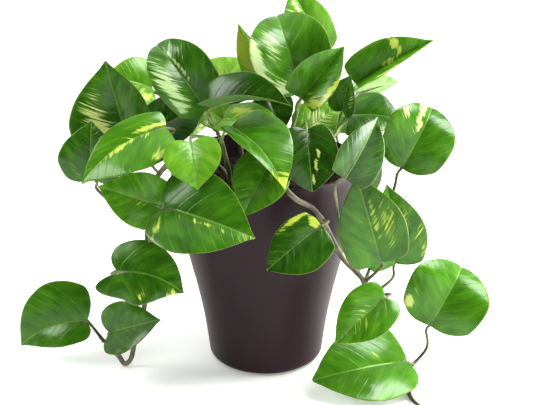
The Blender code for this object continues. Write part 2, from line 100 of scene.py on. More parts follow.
# How green the skin is, from 0, old and corky, to 1, new.
CROWN_STEM_YOUTH = 0.45
CROWN_STALK_YOUTH = 0.75
VINE_STEM_YOUTH = 0.0
VINE_STALK_YOUTH = 0.15

BLADE_THICKNESS = 0.5
BLADE_ROWS = 32
BLADE_COLUMNS = 20
MIDRIB_STEPS = 24
LATERAL_VEINS = 8.0
VEIN_SWEEP = 0.40
# The blade's relief: heights are shares of its width, or of its half width for the belly, and
# the groove over the midrib is in millimetres. A furrow's width is a share of the gap between
# two veins, and the groove's is a share of the half width.
BELLY = 0.05
FURROW_DEPTH = 0.004
FURROW_WIDTH = 0.22
GROOVE_DEPTH = 0.45
GROOVE_WIDTH = 0.05
WAVE_HEIGHT = 0.012
# How sharply a splash of cream ends, and how far apart two leaves lie in the patterns.
SPLASH_EDGE = 0.9
SEED_STEP = 0.381

# Half of a heart-shaped blade, from the stalk round the lobe to the tip:
# (distance along the midrib / length, distance from it / half of the width, 0)
HALF_OUTLINE = [
    Vector((-0.02, 0.04, 0)),
    Vector((-0.075, 0.24, 0)),
    Vector((-0.09, 0.50, 0)),
    Vector((-0.02, 0.78, 0)),
    Vector((0.16, 0.96, 0)),
    Vector((0.38, 1.00, 0)),
    Vector((0.61, 0.80, 0)),
    Vector((0.81, 0.43, 0)),
    Vector((0.93, 0.14, 0)),
    Vector((1.0, 0.012, 0)),
]


@dataclass
class Stem:
    """One stem: the points it grows through, from the soil to its growing tip."""

    name: str
    points: tuple
    radius: float = VINE_RADIUS


@dataclass
class Leaf:
    """One blade: where its stalk joins it, where its tip is, and how it is bent.

    face is the way its upper side looks. stem and node say where its stalk grows, and
    via lists what the stalk passes. fold lifts both halves about the midrib, droop
    bends the midrib down, hook above 1 keeps that bend near the tip, lean bends it
    sideways, and uneven makes one half wider. lobe and other_lobe set how far the
    halves reach back past the stalk, rounded draws the blade's shoulders towards the
    tip, and neck is how far behind the blade's base the stalk turns in under it.
    """

    name: str
    base: tuple
    tip: tuple
    face: tuple
    width: float
    stem: str
    node: float
    via: tuple = ()
    fold: float = 12.0
    droop: float = 30.0
    hook: float = 1.0
    lean: float = 0.0
    uneven: float = 0.0
    lobe: float = 1.0
    other_lobe: float = 1.0
    rounded: float = 0.0
    neck: float = 8.0


@dataclass
class Look:
    """A blade's colouring: tone runs from 0, old dark green, to 1, young yellow-green; on blades that lie in
    shade a low tone is partly painted shade.

    Each splash of cream is (along, across, half length, half width, strength): along
    runs from 0 at the stalk to 1 at the tip, and across from -1 to 1. On leaf_left_upright a
    splash is partly painted light on its lit half, and on leaf_broad_streaked partly a painted
    sheen on its left half.
    """

    tone: float
    splashes: tuple = ()
    cream: float = 0.5


STEMS = [
    Stem(
        "left_vine",
        (
            (-30, -10, 150), (-34, -13, 164), (-48, -22, 177), (-62, -29, 180), (-73, -34, 176),
            (-82, -42, 167), (-87, -47, 152), (-89, -50, 137), (-90, -51, 122), (-92, -50, 96),
            (-95, -46, 62), (-103, -40, 35), (-107, -35, 17), (-110, -31, 7), (-115, -29, 2.4),
            (-120, -26, 8), (-126, -24, 15), (-132, -22, 19), (-136, -21, 22),
        ),
    ),
    Stem(
        "right_vine",
        (
            (6, -40, 150), (7, -48, 162), (9, -60, 173), (12, -74, 175), (17, -83, 170),
            (24, -84, 164), (34, -80, 157), (42, -75, 145), (50, -70, 128), (59, -66, 110),
            (69, -61, 98), (76, -54, 86), (81, -45, 70), (86, -34, 48), (90, -27, 32),
            (100, -30, 16), (111, -42, 9), (113, -54, 8), (112, -64, 4), (111, -74, 2.4),
            (113, -88, 2.4), (119, -99, 2.4), (128, -107, 2.4),
        ),
    ),
    Stem(
        "crown_left",
        (
            (-27, -21, 150), (-28, -24, 166), (-31, -29, 182), (-33, -31, 192), (-36, -30, 198),
            (-39, -28, 202),
        ),
        radius=1.8,
    ),
    Stem(
        "crown_middle",
        (
            (11, -26, 150), (13, -28, 164), (16, -30, 178), (19, -30, 193), (21, -28, 204),
            (23, -26, 210), (24, -25, 214),
        ),
        radius=2.2,
    ),
    Stem(
        "crown_right",
        (
            (38, -8, 150), (42, -7, 166), (46, -6, 178), (51, -5, 187), (54, -4, 192),
            (56, -4, 196),
        ),
        radius=1.8,
    ),
    Stem(
        "back_left",
        (
            (-18, 24, 150), (-20, 27, 166), (-24, 30, 180), (-29, 32, 190), (-31, 33, 198),
            (-32, 33, 204),
        ),
        radius=1.8,
    ),
    Stem(
        "back_right",
        (
            (24, 30, 150), (27, 34, 166), (34, 38, 180), (42, 40, 190), (48, 40, 198),
            (51, 39, 203),
        ),
        radius=1.8,
    ),
]

LEAVES = [
    Leaf(
        "leaf_left_upright", base=(-106, -12, 185), tip=(-122, -4, 248), face=(-0.2, -0.9, 0.35),
        width=68, stem="left_vine", node=4, via=((-82, -34, 169), (-97, -12, 181)),
        fold=20, droop=20, lean=-5, uneven=0.19, lobe=0.7,
    ),
    Leaf(
        "leaf_left_long", base=(-73, -54, 210), tip=(-133, -76, 174), face=(-0.2, -0.75, 0.6),
        width=46, stem="left_vine", node=3, via=((-62, -46, 189), (-70, -50, 201)),
        fold=10, droop=50, lean=-25, uneven=0.3, lobe=0.3,
    ),
    Leaf(
        "leaf_left_outer", base=(-129, -50, 170), tip=(-128, -46, 213), face=(-0.25, -0.9, 0.4),
        width=50, stem="left_vine", node=6.3, via=((-92, -55, 131), (-110, -48, 143), (-128, -38, 156)),
        fold=10, droop=30,
    ),
    Leaf(
        "leaf_left_back", base=(-91, 28, 219), tip=(-127, 20, 229), face=(0, -0.7, 0.7),
        width=44, stem="back_left", node=3, via=((-60, 20, 205),),
        fold=10, droop=30,
    ),
    Leaf(
        "leaf_broad_streaked", base=(-45, -16, 213), tip=(-84, 8, 257), face=(-0.1, -0.8, 0.6),
        width=50, stem="crown_left", node=5,
        fold=18, droop=90, hook=2.5, lobe=0.2, rounded=0.25,
    ),
    Leaf(
        "leaf_pale_back", base=(-42, 30, 215), tip=(-18, 40, 240), face=(0.1, -0.75, 0.65),
        width=40, stem="back_left", node=4,
        fold=10, droop=20,
    ),
    Leaf(
        "leaf_boat_left", base=(-40, -40, 222), tip=(19, -60, 228), face=(0, -0.35, 0.93),
        width=44, stem="crown_left", node=4.5,
        fold=42, droop=45, lobe=0.2,
    ),
    Leaf(
        "leaf_yellow_edge", base=(7, 14, 227), tip=(-21, 18, 272), face=(-0.75, -0.6, 0.3),
        width=34, stem="back_left", node=4.5,
        fold=25, droop=20,
    ),
    Leaf(
        "leaf_top", base=(46, 14, 251), tip=(20, 22, 297), face=(0.1, -0.85, 0.5),
        width=40, stem="back_right", node=4, via=((52, 26, 228),),
        fold=10, droop=20, uneven=0.2, lobe=0.2, rounded=0.25,
    ),
    Leaf(
        "leaf_tall", base=(26, -16, 226), tip=(8, 12, 279), face=(0, -0.85, 0.5),
        width=64, stem="crown_middle", node=5.5,
        fold=18, droop=100, hook=1.8, lobe=0, rounded=0.25,
    ),
    Leaf(
        "leaf_boat_right", base=(27, -34, 227), tip=(58, -30, 265), face=(0.4, -0.6, 0.75),
        width=42, stem="crown_middle", node=5,
        fold=38, droop=20, lobe=0.2,
    ),
    Leaf(
        "leaf_reaching_right", base=(70, -2, 229), tip=(127, -5, 264), face=(-0.15, -0.6, 0.75),
        width=43, stem="crown_right", node=4, via=((60, -3, 210),),
        fold=42, droop=12, lobe=0.2,
    ),
    Leaf(
        "leaf_narrow", base=(59, -14, 212), tip=(64, -20, 241), face=(-0.6, -0.8, 0.2),
        width=28, stem="crown_right", node=4,
        fold=20, droop=10,
    ),
    Leaf(
        "leaf_pale_right", base=(73, 32, 213), tip=(108, 42, 220), face=(0, 0.9, 0.4),
        width=26, stem="back_right", node=4,
        fold=20, droop=10,
    ),
    Leaf(
        "leaf_right_back", base=(66, 2, 203), tip=(105, -10, 203), face=(0, -0.6, 0.8),
        width=46, stem="crown_right", node=2,
        fold=0, droop=40, lobe=0.2,
    ),
    Leaf(
        "leaf_round_right", base=(103, -38, 173), tip=(126, -18, 215), face=(0.1, -0.85, 0.45),
        width=54, stem="right_vine", node=11, via=((82, -36, 92), (91, -28, 123), (99, -30, 155)),
        fold=10, droop=90, hook=2, lobe=0.1, other_lobe=0, rounded=0.4,
    ),
    Leaf(
        "leaf_dark_heart", base=(57, -92, 184), tip=(80, -74, 224), face=(0.5, -0.8, 0.1),
        width=42, stem="right_vine", node=10,
        via=((74, -54, 103), (63, -56, 122), (55, -66, 141), (52, -78, 158)),
        fold=10, droop=20, lobe=0.2,
    ),
    Leaf(
        "leaf_hanging", base=(30, -60, 210), tip=(34, -82, 170), face=(0, -0.9, 0.35),
        width=44, stem="crown_middle", node=3, via=((26, -44, 206),),
        fold=12, droop=20, rounded=0.35,
    ),
    Leaf(
        "leaf_speckled", base=(29, -12, 194), tip=(57, 0, 211), face=(0, -0.8, 0.6),
        width=36, stem="crown_middle", node=3,
        fold=15, droop=20,
    ),
    Leaf(
        "leaf_yellow_tip", base=(-25, -55, 211), tip=(14, -97, 177), face=(0.35, -0.65, 0.7),
        width=41, stem="crown_left", node=3, via=((-33, -45, 196),),
        fold=12, droop=60, hook=1.5, uneven=0.42, lobe=0.4,
    ),
    Leaf(
        "leaf_light_middle", base=(-32, -22, 207), tip=(17, -46, 200), face=(0, -0.45, 0.9),
        width=38, stem="crown_left", node=4,
        fold=12, droop=30, lobe=0.3, other_lobe=0,
    ),
    Leaf(
        "leaf_over_rim", base=(3, -66, 187), tip=(-17, -98, 156), face=(0, -0.85, 0.5),
        width=42, stem="crown_middle", node=2, via=((12, -46, 182),),
        fold=12, droop=25,
    ),
    Leaf(
        "leaf_front_left", base=(-72, -84, 159), tip=(-7, -112, 146), face=(0.05, -0.8, 0.6),
        width=66, stem="left_vine", node=7.5, via=((-86, -68, 126), (-85, -80, 138)),
        fold=12, droop=30,
    ),
    Leaf(
        "leaf_small_heart", base=(-53, -74, 204), tip=(-48, -92, 175), face=(0, -0.9, 0.4),
        width=43, stem="crown_left", node=3, via=((-46, -44, 200),),
        fold=15, droop=25,
    ),
    Leaf(
        "leaf_left_low", base=(-75, -65, 152), tip=(-123, -67, 169), face=(0, -0.92, 0.38),
        width=42, stem="left_vine", node=5.5,
        fold=8, droop=25, lobe=0.4,
    ),
    Leaf(
        "leaf_left_trailing", base=(-111, -68, 101), tip=(-61, -80, 89), face=(0, -0.92, 0.4),
        width=50, stem="left_vine", node=8.5,
        fold=-6, droop=30, lobe=1.2, other_lobe=3.6, lean=45,
    ),
    Leaf(
        "leaf_left_last", base=(-145, -24, 38), tip=(-201, -16, 12), face=(0, -0.85, 0.5),
        width=54, stem="left_vine", node=17,
        fold=10, droop=30, uneven=-0.3, lobe=0.7, lean=-40, neck=0,
    ),
    Leaf(
        "leaf_left_small", base=(-123, -46, 39), tip=(-81, -62, 58), face=(0, -0.8, 0.6),
        width=44, stem="left_vine", node=15.5,
        fold=20, droop=20,
    ),
    Leaf(
        "leaf_before_pot", base=(40, -92, 148), tip=(1, -104, 118), face=(-0.1, -0.85, 0.5),
        width=42, stem="right_vine", node=7,
        fold=8, droop=30, lobe=0.2, uneven=0.15, rounded=0.15,
    ),
    Leaf(
        "leaf_right_streaked", base=(86, -74, 112), tip=(66, -72, 179), face=(-0.1, -0.85, 0.5),
        width=52, stem="right_vine", node=11,
        fold=12, droop=20, lobe=0.3, rounded=0.12,
    ),
    Leaf(
        "leaf_right_shaded", base=(101, -40, 96), tip=(92, -40, 161), face=(0.1, -0.85, 0.5),
        width=52, stem="right_vine", node=12, via=((98, -44, 84),),
        fold=12, droop=25, lobe=0.4,
    ),
    Leaf(
        "leaf_right_hanging", base=(90, -72, 81), tip=(52, -88, 51), face=(0, -0.8, 0.6),
        width=41, stem="right_vine", node=12,
        fold=12, droop=30, lobe=0.9,
    ),
    Leaf(
        "leaf_on_surface", base=(112, -54, 18), tip=(36, -80, 15), face=(0, -0.55, 0.83),
        width=66, stem="right_vine", node=16,
        fold=8, droop=20, lobe=0.6, other_lobe=0, rounded=0.2,
    ),
    Leaf(
        "leaf_right_last", base=(129, -48, 46), tip=(155, -26, 87), face=(0, -0.85, 0.5),
        width=66, stem="right_vine", node=16.5, via=((128, -44, 24),),
        fold=10, droop=100, hook=2, lobe=0.2, other_lobe=0, rounded=0.4,
    ),
    Leaf(
        "leaf_dark_middle", base=(2, 10, 216), tip=(13, -2, 190), face=(0, -0.9, 0.4),
        width=34, stem="back_left", node=4, via=((-12, 28, 218),),
        fold=12, droop=25, lobe=0.4,
    ),
    Leaf(
        "leaf_faded_right", base=(57, 15, 194), tip=(90, 19, 206), face=(0, -0.7, 0.7),
        width=30, stem="crown_right", node=3.5,
        fold=12, droop=25, lobe=0.4,
    ),
    Leaf(
        "leaf_light_behind", base=(-33, 6, 199), tip=(-60, 16, 211), face=(0, -0.7, 0.7),
        width=30, stem="crown_left", node=4.5,
        fold=12, droop=25, lobe=0.4,
    ),
    Leaf(
        "leaf_left_shaded", base=(-87, -6, 193), tip=(-46, 4, 209), face=(0, -0.65, 0.75),
        width=46, stem="left_vine", node=3.5, via=((-74, -30, 176), (-86, -10, 185)),
        fold=8, droop=30,
    ),
    Leaf(
        "leaf_back_1", base=(-66, 36, 198), tip=(-112, 58, 172), face=(-0.4, 0.4, 0.8),
        width=50, stem="back_left", node=3,
        droop=40,
    ),
    Leaf(
        "leaf_back_2", base=(-44, 66, 182), tip=(-66, 118, 148), face=(-0.3, 0.6, 0.7),
        width=52, stem="back_left", node=2.5,
        droop=45,
    ),
    Leaf(
        "leaf_back_3", base=(-8, 62, 200), tip=(0, 114, 180), face=(0, 0.5, 0.85),
        width=54, stem="back_left", node=3.5,
        droop=40,
    ),
    Leaf(
        "leaf_back_4", base=(36, 74, 178), tip=(56, 120, 142), face=(0.2, 0.6, 0.7),
        width=52, stem="back_right", node=2,
        droop=45,
    ),
    Leaf(
        "leaf_back_5", base=(76, 42, 194), tip=(122, 54, 170), face=(0.4, 0.4, 0.8),
        width=48, stem="back_right", node=3.5,
        droop=40,
    ),
    Leaf(
        "leaf_back_6", base=(-14, 90, 158), tip=(-18, 108, 98), face=(0, 0.9, 0.4),
        width=50, stem="back_left", node=1, via=((-16, 64, 184),),
        droop=30,
    ),
    Leaf(
        "leaf_back_7", base=(70, 76, 150), tip=(90, 90, 98), face=(0.5, 0.8, 0.4),
        width=46, stem="back_right", node=1, via=((52, 58, 180),),
        droop=30,
    ),
]

LOOKS = {
    # Painted light: this blade's first splash is partly cream and partly the painted light of its lit half.
    "leaf_left_upright": Look(0.3, ((0.30, 0.46, 0.34, 0.32, 0.75), (0.62, 0.4, 0.25, 0.25, 0.5)), 0.6),
    "leaf_left_long": Look(
        0.45,
        ((0.10, 0.85, 0.22, 0.22, 1.0), (0.15, -0.20, 0.2, 0.12, 0.9), (0.48, 0.05, 0.36, 0.12, 0.72)),
        0.35,
    ),
    "leaf_left_outer": Look(0.25, ((0.1, 0.5, 0.2, 0.4, 0.4),), 0.2),
    "leaf_left_back": Look(0.62, ((0.12, 0.5, 0.2, 0.35, 0.75),), 0.3),
    # Painted sheen: the splash on this blade's left half is partly cream streaks and partly a painted sheen.
    "leaf_broad_streaked": Look(
        0.3,
        ((0.55, -0.10, 0.36, 0.06, 0.8), (0.7, -0.32, 0.25, 0.2, 0.5), (0.45, 0.55, 0.42, 0.34, 0.8)),
        0.95,
    ),
    "leaf_pale_back": Look(0.85, ((0.5, 0.0, 0.5, 0.5, 0.4),), 0.8),
    "leaf_boat_left": Look(0.14, ((0.5, -0.85, 0.5, 0.12, 0.4),), 0.7),
    "leaf_yellow_edge": Look(0.75, ((0.65, 0.35, 0.5, 0.55, 1.0),), 0.05),
    "leaf_top": Look(0.62, ((0.5, 0.16, 0.5, 0.10, 1.0), (0.6, 0.6, 0.4, 0.35, 0.55)), 0.75),
    "leaf_tall": Look(
        0.4,
        ((0.44, 0.86, 0.36, 0.20, 1.0), (0.12, 0.5, 0.16, 0.4, 0.8), (0.55, 0.45, 0.3, 0.3, 0.6)),
        0.88,
    ),
    "leaf_boat_right": Look(0.42, ((0.45, -0.86, 0.45, 0.18, 0.9), (0.08, -0.5, 0.16, 0.5, 0.7)), 0.2),
    "leaf_reaching_right": Look(
        0.5,
        ((0.60, 0.60, 0.05, 0.5, 1.0), (0.46, 0.10, 0.12, 0.12, 0.85), (0.5, -0.9, 0.5, 0.12, 0.8)),
        0.4,
    ),
    "leaf_narrow": Look(0.3, ((0.4, -0.6, 0.4, 0.3, 0.5),), 0.8),
    "leaf_pale_right": Look(0.85, ((0.5, 0.0, 0.6, 0.8, 0.6),), 0.9),
    "leaf_right_back": Look(0.3, ((0.5, -0.5, 0.4, 0.35, 0.6),), 0.9),
    "leaf_round_right": Look(
        0.38,
        ((0.92, 0.22, 0.42, 0.13, 1.0), (0.60, 0.10, 0.12, 0.05, 0.9), (0.7, 0.65, 0.15, 0.2, 0.6)),
        0.65,
    ),
    # Painted shade: this blade lies in shade, and its low tone is partly painted shade.
    "leaf_dark_heart": Look(0.12),
    # Painted shade: this blade lies in shade, and its low tone is partly painted shade.
    "leaf_hanging": Look(
        0.12,
        ((0.42, 0.30, 0.10, 0.07, 0.9), (0.60, 0.20, 0.14, 0.06, 1.0), (0.8, 0.08, 0.1, 0.05, 1.0)),
        0.5,
    ),
    "leaf_speckled": Look(0.6, ((0.4, 0.0, 0.5, 0.8, 0.62),), 0.75),
    "leaf_yellow_tip": Look(0.4, ((0.97, 0.0, 0.16, 0.5, 1.0), (0.85, -0.4, 0.14, 0.2, 0.7)), 0.15),
    "leaf_light_middle": Look(0.6, ((0.28, 0.45, 0.3, 0.4, 0.75), (0.6, 0.4, 0.2, 0.25, 0.6)), 0.2),
    "leaf_over_rim": Look(0.42, ((0.2, 0.3, 0.2, 0.2, 0.5),), 0.4),
    "leaf_front_left": Look(
        0.3,
        ((0.55, -0.12, 0.4, 0.08, 0.5), (0.04, -0.55, 0.10, 0.3, 0.62), (0.92, -0.1, 0.12, 0.2, 0.55)),
        0.25,
    ),
    "leaf_small_heart": Look(0.64, ((0.3, -0.3, 0.2, 0.25, 0.3),)),
    "leaf_left_low": Look(0.52, ((0.35, 0.1, 0.22, 0.16, 0.5),), 0.2),
    "leaf_left_trailing": Look(0.3, ((0.88, -0.3, 0.08, 0.3, 0.75), (0.4, -0.7, 0.08, 0.25, 0.7)), 0.4),
    "leaf_left_last": Look(0.34),
    "leaf_left_small": Look(0.28, ((0.4, -0.5, 0.15, 0.14, 0.5),), 0.5),
    "leaf_before_pot": Look(0.2, ((0.20, -0.84, 0.40, 0.13, 1.0), (0.05, -0.3, 0.08, 0.4, 0.9)), 0.15),
    "leaf_right_streaked": Look(
        0.32,
        ((0.5, -0.16, 0.34, 0.10, 0.7), (0.45, -0.45, 0.30, 0.16, 0.68), (0.5, -0.65, 0.2, 0.1, 0.6)),
        0.05,
    ),
    "leaf_right_shaded": Look(0.36, ((0.3, -0.8, 0.3, 0.22, 0.6), (0.6, -0.4, 0.2, 0.2, 0.5)), 0.2),
    "leaf_right_hanging": Look(0.48, ((0.5, 0.0, 0.4, 0.6, 0.42),), 0.4),
    "leaf_on_surface": Look(0.46, ((0.3, -0.3, 0.2, 0.2, 0.35),)),
    "leaf_right_last": Look(0.44, ((0.2, 0.75, 0.2, 0.2, 0.6),), 0.5),
    # Painted shade: this blade lies in shade, and its low tone is partly painted shade.
    "leaf_left_shaded": Look(0.06, ((0.2, 0.3, 0.2, 0.3, 0.5),), 0.3),
    "leaf_dark_middle": Look(0.12),
    "leaf_faded_right": Look(0.95, ((0.5, 0.0, 0.6, 0.8, 0.5),), 0.9),
    "leaf_light_behind": Look(0.8, ((0.4, 0.3, 0.4, 0.5, 0.4),), 0.4),
    "leaf_back_1": Look(0.4, ((0.4, 0.3, 0.3, 0.4, 0.6),)),
    "leaf_back_2": Look(0.5, ((0.6, -0.2, 0.3, 0.16, 0.9),), 0.4),
    "leaf_back_3": Look(0.35, ((0.3, 0.5, 0.3, 0.3, 0.7),), 0.6),
    "leaf_back_4": Look(0.45, ((0.5, -0.5, 0.4, 0.3, 0.65),)),
    "leaf_back_5": Look(0.5, ((0.5, 0.1, 0.4, 0.10, 0.9),), 0.6),
    "leaf_back_6": Look(0.3, ((0.7, 0.4, 0.2, 0.3, 0.6),)),
    "leaf_back_7": Look(0.36, ((0.4, -0.3, 0.3, 0.16, 0.75),), 0.4),
}

# ---------------------------------------------------------------------------
# Materials
# ---------------------------------------------------------------------------


def linear(code):
    """An sRGB hex colour as linear red, green, blue and alpha."""
    shades = [int(code[place : place + 2], 16) / 255 for place in (1, 3, 5)]
    linear_shades = [c / 12.92 if c <= 0.04045 else ((c + 0.055) / 1.055) ** 2.4 for c in shades]
    return (*linear_shades, 1.0)


def add_node(tree, kind, links, stops=(), **settings):
    """Add a node with its properties and colour stops, and link or set its inputs."""
    made = tree.nodes.new(kind)
    for name, value in settings.items():
        setattr(made, name, value)
    for name, value in links.items():
        if isinstance(value, bpy.types.NodeSocket):
            tree.links.new(value, made.inputs[name])
        else:
            made.inputs[name].default_value = value
    if stops:
        for element, (position, code) in zip(made.color_ramp.elements, (stops[0], stops[-1])):
            element.position = position
            element.color = linear(code)
        for position, code in stops[1:-1]:
            made.color_ramp.elements.new(position).color = linear(code)
    return made


def texture_scale(size):
    """The scale at which a texture on Object coordinates has features of size millimetres."""
    return 1 / (size * MM)


def new_material(name):
    """An empty material, its tree and its shader."""
    material = bpy.data.materials.new(name)
    material.use_nodes = True
    tree = material.node_tree
    return material, tree, tree.nodes["Principled BSDF"]


def leaf_surface(name, underside):
    """Living leaf skin: a waxy cuticle over green tissue, with veins and cream streaks."""
    material, tree, shader = new_material(name)
    veins = add_node(tree, "ShaderNodeUVMap", {}, uv_map="veins")
    parts = add_node(tree, "ShaderNodeSeparateXYZ", {"Vector": veins.outputs["UV"]})
    vein = parts.outputs["X"]
    across = parts.outputs["Y"]
    tone, pale, cream, edge, seed = (
        add_node(tree, "ShaderNodeAttribute", {}, attribute_name=layer).outputs["Fac"]
        for layer in ("tone", "pale", "cream", "margin", "seed")
    )

    # Streaks run along the lateral veins: long across the blade, and about 2 mm wide.
    # Clouds of darker and lighter green are about 8 mm wide.
    place = add_node(tree, "ShaderNodeCombineXYZ", {"X": vein, "Y": across, "Z": seed})
    patterns = []
    for stretch, detail in (((34, 2.2, 9), 3.0), ((7, 2.4, 9), 2.0)):
        way = add_node(tree, "ShaderNodeMapping", {"Vector": place.outputs["Vector"], "Scale": stretch})
        settings = {"Vector": way.outputs["Vector"], "Scale": 1.0, "Detail": detail}
        patterns.append(add_node(tree, "ShaderNodeTexNoise", settings).outputs["Fac"])
    streaks, clouds = patterns
    # A streak shows where the noise passes a threshold that a splash of cream lowers; on two blades a splash
    # is partly painted light.
    threshold = add_node(
        tree, "ShaderNodeMapRange", {"Value": pale, "To Min": 0.78, "To Max": 0.12}
    ).outputs["Result"]
    upper = add_node(tree, "ShaderNodeMath", {0: threshold, 1: 0.20}, operation="ADD").outputs[0]
    streak_mask = add_node(
        tree,
        "ShaderNodeMapRange",
        {"Value": streaks, "From Min": threshold, "From Max": upper},
        interpolation_type="SMOOTHSTEP",
    ).outputs["Result"]

    # Lateral veins are fine pale lines, 7 to 8 mm apart, with the broad midrib between them.
    vein_count = add_node(
        tree, "ShaderNodeMath", {0: vein, 1: LATERAL_VEINS}, operation="MULTIPLY"
    ).outputs[0]
    from_vein = add_node(tree, "ShaderNodeMath", {0: vein_count, 1: 0.5}, operation="PINGPONG").outputs[0]
    from_midrib = add_node(tree, "ShaderNodeMath", {0: across}, operation="ABSOLUTE").outputs[0]
    lines = []
    for way, start, end, first, last in (
        (from_vein, 0.0, 0.07, 1.0, 0.0),
        (from_midrib, 0.006, 0.035, 1.0, 0.0),
        (edge, 0.97, 1.0, 0.0, 1.0),
    ):
        settings = {"Value": way, "From Min": start, "From Max": end, "To Min": first, "To Max": last}
        lines.append(add_node(tree, "ShaderNodeMapRange", settings).outputs["Result"])
    vein_line, midrib_line, edge_line = lines

    # The tone sets each blade's green; on blades that lie in shade its low value is partly painted shade.
    shade = add_node(tree, "ShaderNodeMath", {0: clouds, 1: 0.5}, operation="SUBTRACT").outputs[0]
    shade = add_node(
        tree, "ShaderNodeMath", {0: shade, 1: 0.55, 2: tone}, operation="MULTIPLY_ADD"
    ).outputs[0]
    if underside:
        greens = [(0.0, "#5f7f4c"), (0.5, "#7ea564"), (1.0, "#a6c486")]
        rib_colour, edge_colour = linear("#b9cf97"), linear("#8d9a63")
        smoothest, roughest = 0.5, 0.68
    else:
        greens = [(0.0, "#1f400b"), (0.25, "#35640f"), (0.5, "#528a1a"), (0.75, "#76aa2e"), (1.0, "#a2c962")]
        rib_colour, edge_colour = linear("#8fb552"), linear("#8c8f3e")
        smoothest, roughest = 0.17, 0.28
    creams = [(0.0, "#aabd36"), (0.4, "#c6d466"), (0.7, "#d6dd9c"), (1.0, "#a3c28c")]
    green = add_node(tree, "ShaderNodeValToRGB", {"Fac": shade}, stops=greens).outputs["Color"]
    pale_colour = add_node(tree, "ShaderNodeValToRGB", {"Fac": cream}, stops=creams).outputs["Color"]
    mixed = add_node(
        tree, "ShaderNodeMix", {"Factor": streak_mask, 6: green, 7: pale_colour}, data_type="RGBA"
    ).outputs[2]
    for line, most, colour in (
        (vein_line, 0.10, rib_colour),
        (midrib_line, 0.42, rib_colour),
        (edge_line, 0.45, edge_colour),
    ):
        share = add_node(tree, "ShaderNodeMath", {0: line, 1: most}, operation="MULTIPLY").outputs[0]
        mixed = add_node(
            tree, "ShaderNodeMix", {"Factor": share, 6: mixed, 7: colour}, data_type="RGBA"
        ).outputs[2]
    tree.links.new(mixed, shader.inputs["Base Color"])

    # The cuticle's pebbling is about 0.6 mm on the real leaf; it is drawn at 1.1 mm so that it
    # shows. The furrows over the veins are shallow.
    body = add_node(tree, "ShaderNodeTexCoord", {})
    pebbles = add_node(
        tree,
        "ShaderNodeTexNoise",
        {"Vector": body.outputs["Object"], "Scale": texture_scale(1.111), "Detail": 2.0},
    ).outputs["Fac"]
    relief = add_node(
        tree, "ShaderNodeMath", {0: vein_line, 1: -1.0}, operation="MULTIPLY"
    ).outputs[0]
    for height, share in ((streaks, 0.8), (pebbles, 0.12)):
        relief = add_node(
            tree, "ShaderNodeMath", {0: height, 1: share, 2: relief}, operation="MULTIPLY_ADD"
        ).outputs[0]
    bump = add_node(tree, "ShaderNodeBump", {"Strength": 0.35, "Distance": 0.18 * MM, "Height": relief})
    tree.links.new(bump.outputs["Normal"], shader.inputs["Normal"])
    rough = add_node(
        tree,
        "ShaderNodeMapRange",
        {"Value": clouds, "From Min": 0.3, "From Max": 0.7, "To Min": smoothest, "To Max": roughest},
    ).outputs["Result"]
    tree.links.new(rough, shader.inputs["Roughness"])
    shader.inputs["IOR"].default_value = 1.45
    return material


def stem_skin():
    """Living stem: green skin under a thin wax, turning grey-brown and corky with age."""
    material, tree, shader = new_material("living_stem_grey_brown")
    body = add_node(tree, "ShaderNodeTexCoord", {})
    young = add_node(tree, "ShaderNodeAttribute", {}, attribute_name="young").outputs["Fac"]
    patches, grain = (
        add_node(
            tree,
            "ShaderNodeTexNoise",
            {"Vector": body.outputs["Object"], "Scale": texture_scale(size), "Detail": 3.0},
        ).outputs["Fac"]
        for size in (14.29, 1.538)
    )
    blend = add_node(
        tree, "ShaderNodeMath", {0: grain, 1: 0.3, 2: patches}, operation="MULTIPLY_ADD"
    ).outputs[0]
    old_stops = [(0.45, "#3f3b30"), (0.62, "#5f5a48"), (0.8, "#827c66")]
    young_stops = [(0.45, "#5f7a34"), (0.62, "#84a04e"), (0.8, "#a9bf78")]
    old_colour, young_colour = (
        add_node(tree, "ShaderNodeValToRGB", {"Fac": blend}, stops=stops).outputs["Color"]
        for stops in (old_stops, young_stops)
    )
    colour = add_node(
        tree, "ShaderNodeMix", {"Factor": young, 6: old_colour, 7: young_colour}, data_type="RGBA"
    ).outputs[2]
    tree.links.new(colour, shader.inputs["Base Color"])
    bump = add_node(tree, "ShaderNodeBump", {"Strength": 0.5, "Distance": 0.2 * MM, "Height": grain})
    tree.links.new(bump.outputs["Normal"], shader.inputs["Normal"])
    rough = add_node(tree, "ShaderNodeMapRange", {"Value": patches, "To Min": 0.3, "To Max": 0.55})
    tree.links.new(rough.outputs["Result"], shader.inputs["Roughness"])
    shader.inputs["IOR"].default_value = 1.42
    return material


def pot_plastic():
    """Injection-moulded polypropylene, dyed plum-brown, with a fine satin mould texture."""
    material, tree, shader = new_material("moulded_polypropylene_plum")
    body = add_node(tree, "ShaderNodeTexCoord", {})
    # The dye drifts over about 70 mm. The mould texture is 0.3 mm on the real pot; it is drawn
    # at 0.9 mm so that it shows.
    drift, texture = (
        add_node(
            tree,
            "ShaderNodeTexNoise",
            {"Vector": body.outputs["Object"], "Scale": texture_scale(size), "Detail": 2.0},
        ).outputs["Fac"]
        for size in (71.43, 0.909)
    )
    blend = add_node(
        tree, "ShaderNodeMath", {0: texture, 1: 0.2, 2: drift}, operation="MULTIPLY_ADD"
    ).outputs[0]
    plums = [(0.4, "#221017"), (0.8, "#311a22")]
    colour = add_node(tree, "ShaderNodeValToRGB", {"Fac": blend}, stops=plums).outputs["Color"]
    tree.links.new(colour, shader.inputs["Base Color"])
    bump = add_node(tree, "ShaderNodeBump", {"Strength": 0.25, "Distance": 0.1 * MM, "Height": texture})
    tree.links.new(bump.outputs["Normal"], shader.inputs["Normal"])
    rough = add_node(
        tree,
        "ShaderNodeMapRange",
        {"Value": drift, "From Min": 0.3, "From Max": 0.7, "To Min": 0.36, "To Max": 0.46},
    )
    tree.links.new(rough.outputs["Result"], shader.inputs["Roughness"])
    shader.inputs["IOR"].default_value = 1.36
    return material


